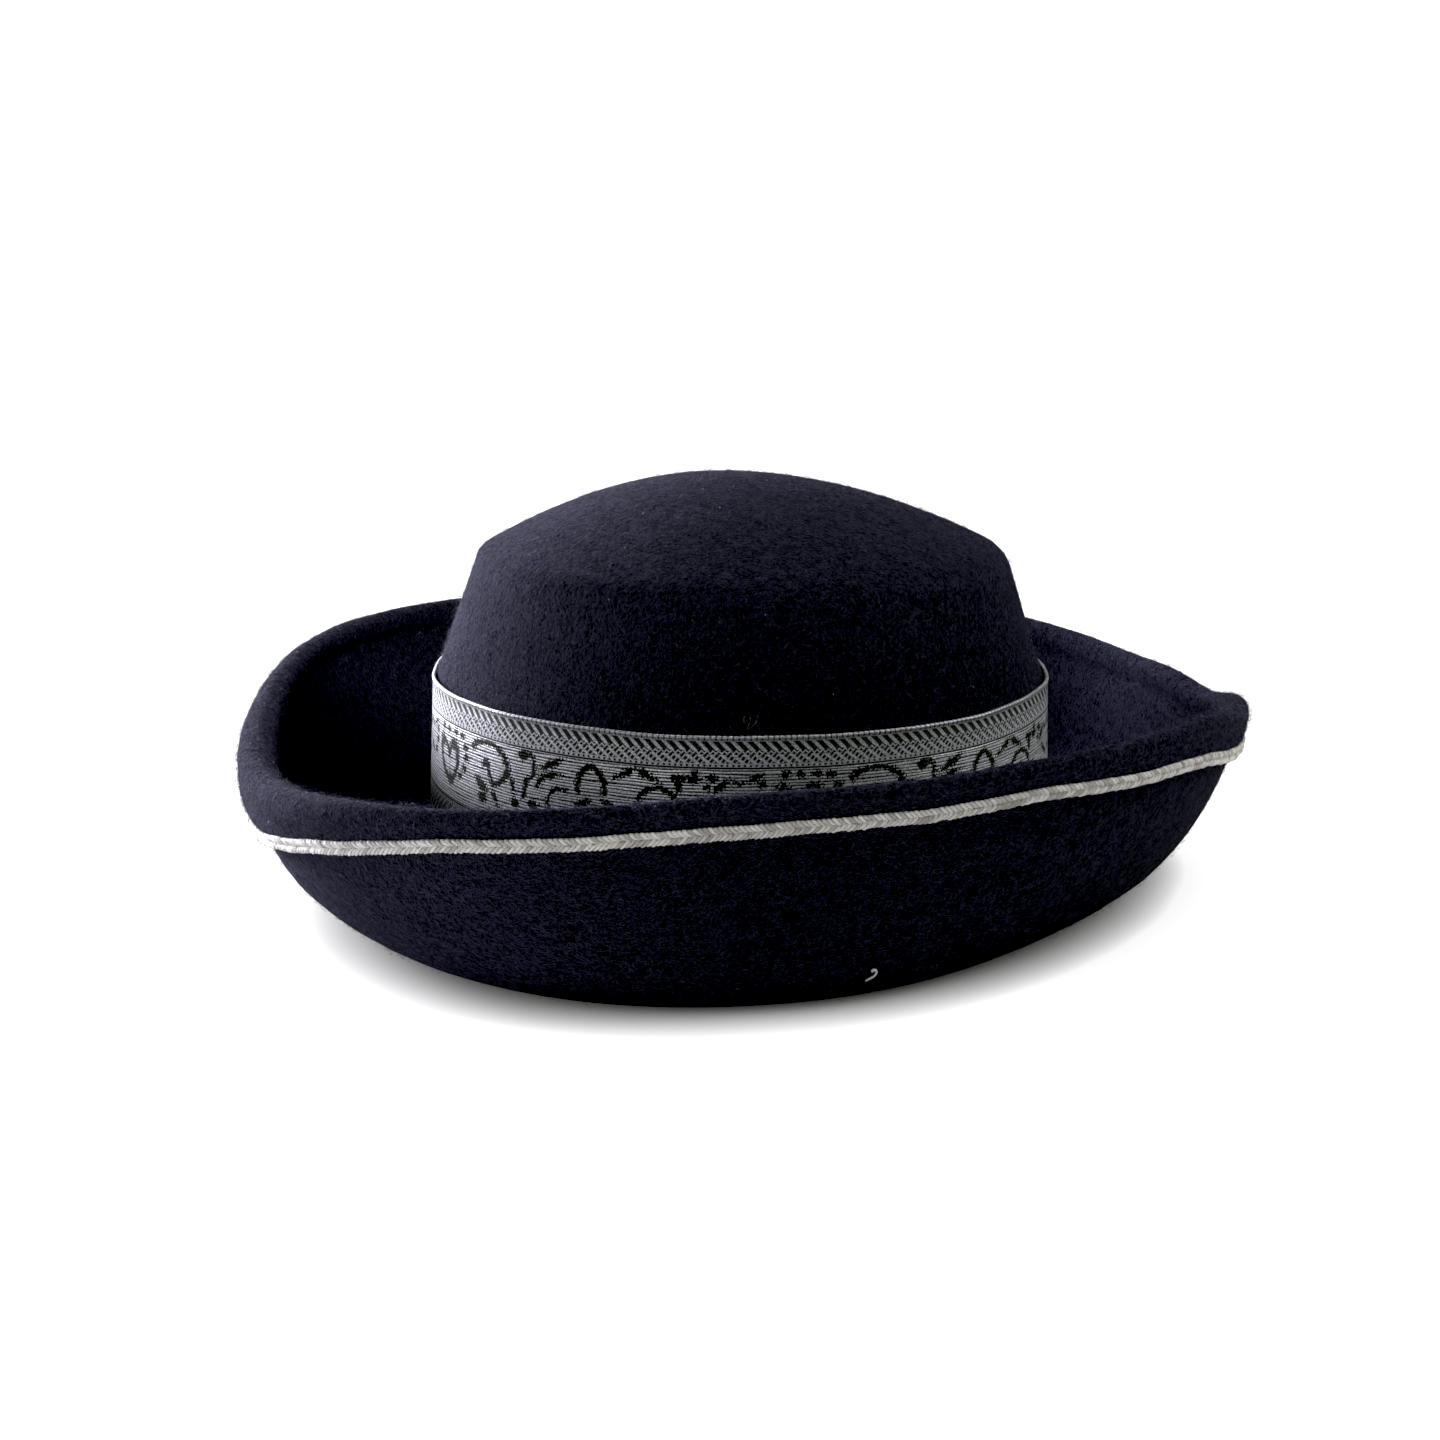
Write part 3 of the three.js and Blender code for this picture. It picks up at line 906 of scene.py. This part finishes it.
def thread_finish():
    """White cotton thread and pale lint."""
    thread = Shader("white_cotton_thread")
    grain = thread.noise(thread.place(), 3.0, detail=2)
    base = thread.mix(grain, colour(0.45, 0.45, 0.46), colour(0.8, 0.8, 0.8))
    return thread.finish(Base_Color=base, Roughness=0.8, Normal=thread.bump(grain, 0.1))


def floor_finish():
    """Plain matt white paper, which the camera sees glowing evenly white but for a painted shadow close to
    the hat.
    """
    floor = Shader("white_paper_floor")

    def open_share(reach, *towards):
        """The share of the hemisphere about a direction that nothing within reach blocks."""
        inputs = {"Distance": reach, "Normal": floor.point(*towards)}
        return floor.node("ShaderNodeAmbientOcclusion", inputs, output="AO", samples=8)

    # Painted shadow: the glow dims where the hat closes over the floor, the hemispheres tipped to the back
    # left so it falls more to the front and right.
    near = open_share(0.013, -0.2, 0.1, 0.97)
    far = open_share(0.034, -0.45, 0.2, 0.87)
    glow = floor.mix(near * (far * 0.4 + 0.6), colour(0, 0, 0), colour(1, 1, 1))
    paper = spaced(
        Base_Color=colour(0.12, 0.12, 0.12),
        Roughness=0.9,
        Emission_Color=glow,
        Emission_Strength=1.2,
    )
    seen = floor.node("ShaderNodeBsdfPrincipled", paper)
    lit = floor.node("ShaderNodeBsdfDiffuse", {"Color": colour(0.64, 0.64, 0.64)})
    camera_ray = floor.node("ShaderNodeLightPath", output="Is Camera Ray")
    both = floor.node("ShaderNodeMixShader", {0: camera_ray, 1: lit, 2: seen})
    floor.node("ShaderNodeOutputMaterial", {"Surface": both})
    return floor.material


# Felt body: crown and brim in one skin.
angles = all_round(FELT_CUTS)
felt_grid = hand_blocked(placed(felt_cut(angles), angles))
felt_body = skin_piece("felt_body_skin", felt_grid, felt_finish())
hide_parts("felt_body")

# Nap: loose fibres on the crown, in the trough and on the fold, and on the brim's outside, with longer
# stray hairs and a few specks of lint.
fibre_material = fibre_finish("navy_wool_fibre", (0.008, 0.0085, 0.015), (0.12, 0.124, 0.185))
hair_material = fibre_finish("grey_wool_hair", (0.04, 0.043, 0.06), (0.2, 0.21, 0.25))
lint_material = fibre_finish("pale_lint", (0.12, 0.12, 0.13), (0.5, 0.5, 0.52))
felt_normal = skin_normals(felt_grid)
height = felt_grid[..., 2]
column = np.arange(felt_grid.shape[1])
near_fold = 1 + 5 * np.exp(-(((column - FOLD_MIDDLE) / 18) ** 2))
on_top = (column < CROWN_END) * ramp(height, 64, 70)
in_trough = ((column >= CROWN_END) & (column < FOLD_MIDDLE)) * (0.35 + ramp(height, 30, 55)) * near_fold
on_outside = ((column >= FOLD_MIDDLE) & (column < NAP_END)) * ramp(height, 2.5, 6) * near_fold
on_fold = ((column > FOLD_MIDDLE - 22) & (column < FOLD_MIDDLE + 20)) * ramp(height, 45, 55)
nap = dict(length=2.8, radius=0.045, standing=0.5, material=fibre_material, slot="felt")
nap_piece("crown_nap", felt_grid, felt_normal, on_top, 14000, seed=11, **nap)
nap_piece("trough_nap", felt_grid, felt_normal, in_trough, 14000, seed=12, **nap)
nap_piece("brim_nap", felt_grid, felt_normal, on_outside, 14000, seed=13, **nap)
hairs = dict(length=3.2, radius=0.035, standing=0.75, material=hair_material, slot="felt")
nap_piece("stray_hairs", felt_grid, felt_normal, on_fold + on_top * 0.25, 3600, seed=14, **hairs)
lint = dict(length=0.9, radius=0.09, standing=0.5, material=lint_material, slot="felt")
nap_piece("lint_specks", felt_grid, felt_normal, on_top + on_fold + in_trough * 0.3, 260, seed=15, **lint)


def ribbon_grid(count):
    """The ribbon's cuts from its seam on the left: outer face down, inner face up, and a beaded edge on top.

    The faces ripple by the sum of h sin(n angle + start), growing with the square of the height above the
    foot, and the edge's radius swells by |sin| at each bead. Gives its shares of the width too, and how
    far along it the middle of the hat's back lies.
    """
    angle = all_round(count) + math.radians(RIBBON.seam)
    run = run_of(placed(band_radius(BAND.foot, angle) + 1j * BAND.foot, angle)[:, 0])
    turn = (run / run[-1])[:-1, None]
    low, high = BAND.foot, BAND.top - 2 * RIBBON.bead_radius
    down = high + (low - high) * np.linspace(0, 1, 18)
    up = low + 0.3 + (high - low - 0.3) * np.linspace(0, 1, 7)
    over = np.linspace(-0.15, 1.15, 8) * np.pi
    ripple = sum(amount * np.sin(TURN * number * turn + start) for amount, number, start in RIPPLES)
    bars = round(RIBBON.length / RIBBON.bar_pitch)
    beads = 1 + RIBBON.bead_relief * np.abs(np.sin(np.pi * 2 * bars * turn))
    outer = band_radius(down, angle) + ripple * ((down - low) / (high - low)) ** 2 + 1j * down
    inner = band_radius(up, angle) - BAND.thickness + ripple * ((up - low) / (high - low)) ** 2 + 1j * up
    centre_height = high + RIBBON.bead_radius * 0.9
    centre = band_radius(high, angle) - BAND.thickness / 2 + ripple + 1j * centre_height
    bead = centre - RIBBON.bead_radius * beads * np.exp(-1j * over)
    heights = np.concatenate([down, up, high + RIBBON.bead_radius * (1 + np.sin(over))])
    shares = np.clip((heights - BAND.foot) / BAND_WIDTH, 0, 1)
    at_back = float(np.interp(math.pi, angle[:, 0], run[:-1]))
    return placed(np.hstack([outer, inner, bead]), angle), shares, at_back


ribbon_points, ribbon_shares, ribbon_at_back = ribbon_grid(1500)
ribbon_material = ribbon_finish(ribbon_at_back)
ribbon = loop_piece("jacquard_ribbon", ribbon_points, ribbon_shares, ribbon_material)
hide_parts("hat_band")


def braid_grid(count):
    """The soutache's cut: two round ridges with a groove between them, on a flat underside.

    Each ridge is 0.4 + 0.6 sqrt(1 - ((|a| - 0.5) / 0.5)^2) of the height, with a across from -1 to 1.
    Threads that slant to the groove stand out by |sin(pi (threads run + slant |a|))|^0.7, each to its own
    height and width. Gives its shares of the width too, and the number of threads.
    """
    rng = np.random.default_rng(21)
    angle = all_round(count)
    depth = brim_at.hem(angle)
    hem_edge = brim_cut(angle, depth + HEM.below_braid)
    rim = brim_curve(angle)[3]
    along = (hem_edge - rim) / np.abs(hem_edge - rim)
    out = along * -1j
    out = np.where(out.real > 0, out, -out)
    base = rim + depth * along + (FELT_THICKNESS + 0.15 + hem_standing(angle)) * out
    a = -np.cos(np.pi * np.linspace(0, 1, 13))
    ridge = 0.4 + 0.6 * np.sqrt(np.clip(1 - ((np.abs(a) - 0.5) / 0.5) ** 2, 0, 1))
    ridge[[0, -1]] = 0.25
    run = run_of(placed(base, angle)[:, 0])
    threads = round(run[-1] / BRAID.pitch)
    thread = (run[:-1] / run[-1] * threads)[:, None] + np.abs(a) * BRAID.slant
    own = rng.uniform(size=(threads + 3, 2))[np.floor(thread).astype(int), (a > 0).astype(int)[None]]
    raised = np.abs(np.sin(np.pi * thread)) ** 0.7 * (0.45 + 0.9 * own)
    distance = run[:-1, None]
    wobble = 0.14 * np.sin(distance / 9) + 0.1 * np.sin(distance / 3.7)
    up = BRAID.height * ridge * (0.68 + 0.4 * raised)
    half = BRAID.width / 2
    top = base + along * (a * half * (0.92 + 0.16 * raised) + wobble) + out * up
    under = base + along * (np.array([0.8, 0.25, -0.25, -0.8]) * half + wobble)
    shares = np.concatenate([(a + 1) / 2, [0.9, 0.62, 0.38, 0.1]])
    return placed(np.hstack([top, under]), angle), shares, threads


braid_points, braid_shares, braid_threads = braid_grid(3200)
braid = loop_piece("soutache_braid", braid_points, braid_shares, braid_finish(braid_threads))
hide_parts("rim_braid")


def clinging_path(start, normal, length, heading, curl, count=40):
    """Points of a thread on the felt: it leaves start along heading, in the surface, and turns by curl s^4.

    s goes from 0 to 1, angles are in degrees, and it stands off the felt by 0.35 + 0.5 sin(pi s)^2.
    """
    normal = np.array(normal) / np.linalg.norm(normal)
    level = np.cross(normal, [0, 0, -1.0])
    level /= np.linalg.norm(level)
    rise = np.cross(normal, level)
    share = np.linspace(0, 1, count)
    way = np.radians(heading + curl * share**4)
    run = np.cumsum(length / count * np.exp(1j * way))
    lift = 0.35 + 0.5 * np.sin(np.pi * share) ** 2
    return np.array(start) + run.real[:, None] * level + run.imag[:, None] * rise + lift[:, None] * normal


# A snipped end of white thread clings to the brim below the braid, and a few hairs to the ribbon's edge.
HAIRS = (
    Sizes(heading=70, length=5.5, curl=80),
    Sizes(heading=110, length=4.5, curl=-70),
    Sizes(heading=38, length=6, curl=110),
)
thread_path = clinging_path((32.3, -122.2, 8.3), (0.3, -0.91, -0.27), length=7.6, heading=38, curl=420)
strand_piece("loose_thread", thread_path, 0.26, 4.5, thread_finish())
for number, hair in enumerate(HAIRS):
    hair_path = clinging_path((-0.6, -83.6, 69.2), (0.02, -0.94, 0.33), **vars(hair))
    strand_piece(f"hair_{number + 1}", hair_path, 0.06, 0, hair_material)

# Floor, light and camera.
floor_mesh = bpy.data.meshes.new("floor")
floor_mesh.from_pydata([(-4, -4, 0), (4, -4, 0), (4, 4, 0), (-4, 4, 0)], [], [(0, 1, 2, 3)])
floor_mesh.materials.append(floor_finish())
floor = bpy.data.objects.new("floor", floor_mesh)
bpy.context.scene.collection.objects.link(floor)

SOFT_BOX = Sizes(width=0.9, distance=1.8)
DAYLIGHT = (0.975, 0.965, 1.075)


def soft_light(name, azimuth, elevation, power, tint=(1, 1, 1)):
    """A square soft box turned to the hat. Its azimuth is in degrees from the front peak."""
    turn, rise = math.radians(azimuth), math.radians(elevation)
    way = Vector((math.cos(rise) * math.cos(turn), math.cos(rise) * math.sin(turn), math.sin(rise)))
    light = bpy.data.lights.new(name, "AREA")
    light.shape, light.size, light.energy, light.color = "SQUARE", SOFT_BOX.width, power, tint
    lamp = bpy.data.objects.new(name, light)
    lamp.location = way * SOFT_BOX.distance
    lamp.rotation_euler = (-way).to_track_quat("-Z", "Y").to_euler()
    bpy.context.scene.collection.objects.link(lamp)


soft_light("window_soft_box", 148, 11, 145, DAYLIGHT)
soft_light("back_soft_box", 120, 35, 30, DAYLIGHT)
soft_light("top_soft_box", 90, 76, 10)
soft_light("right_reflector", 0, 36, 20)
soft_light("left_reflector", 190, 14, 4.5, DAYLIGHT)
soft_light("front_reflector", 244, 12, 8.5)

studio = World("white_studio")
lit = studio.node("ShaderNodeBackground", {"Color": colour(1, 1, 1), "Strength": 0.03})
seen = studio.node("ShaderNodeBackground", {"Color": colour(1, 1, 1), "Strength": 1.05})
camera_ray = studio.node("ShaderNodeLightPath", output="Is Camera Ray")
both = studio.node("ShaderNodeMixShader", {0: camera_ray, 1: lit, 2: seen})
studio.node("ShaderNodeOutputWorld", {"Surface": both})
bpy.context.scene.world = studio.world

# Plain colours, with the black point raised a little, as the photograph's is.
BLACK_POINT = (0.0128, 0.0128, 0.0172)
view = bpy.context.scene.view_settings
view.view_transform = "Standard"
view.use_curve_mapping = True
view.curve_mapping.black_level = BLACK_POINT
view.curve_mapping.update()

# The camera stands at the hat's right side, a little above it, as the photograph's does.
PHOTO = Sizes(place=(-2.9, -564.3, 209), pan=-0.65, tilt=15.87, roll=-0.18, lens=1729 / 1440 * 36)


def photo_camera():
    """Its matrix has the columns right, up and back, worked out from pan, tilt and roll."""
    pan, tilt, roll = (math.radians(turn) for turn in (PHOTO.pan, PHOTO.tilt, PHOTO.roll))
    ahead = np.array([math.sin(pan) * math.cos(tilt), math.cos(pan) * math.cos(tilt), -math.sin(tilt)])
    level = np.array([math.cos(pan), -math.sin(pan), 0])
    down = np.cross(ahead, level)
    right = math.cos(roll) * level + math.sin(roll) * down
    below = math.cos(roll) * down - math.sin(roll) * level
    data = bpy.data.cameras.new("photo_camera")
    data.sensor_width, data.lens, data.clip_start, data.clip_end = 36, PHOTO.lens, 0.05, 20
    camera = bpy.data.objects.new("photo_camera", data)
    turned = Matrix(np.stack([right, -below, -ahead], axis=1).tolist()).to_4x4()
    camera.matrix_world = Matrix.Translation(Vector(PHOTO.place) * MM) @ turned
    bpy.context.scene.collection.objects.link(camera)
    bpy.context.scene.camera = camera


photo_camera()
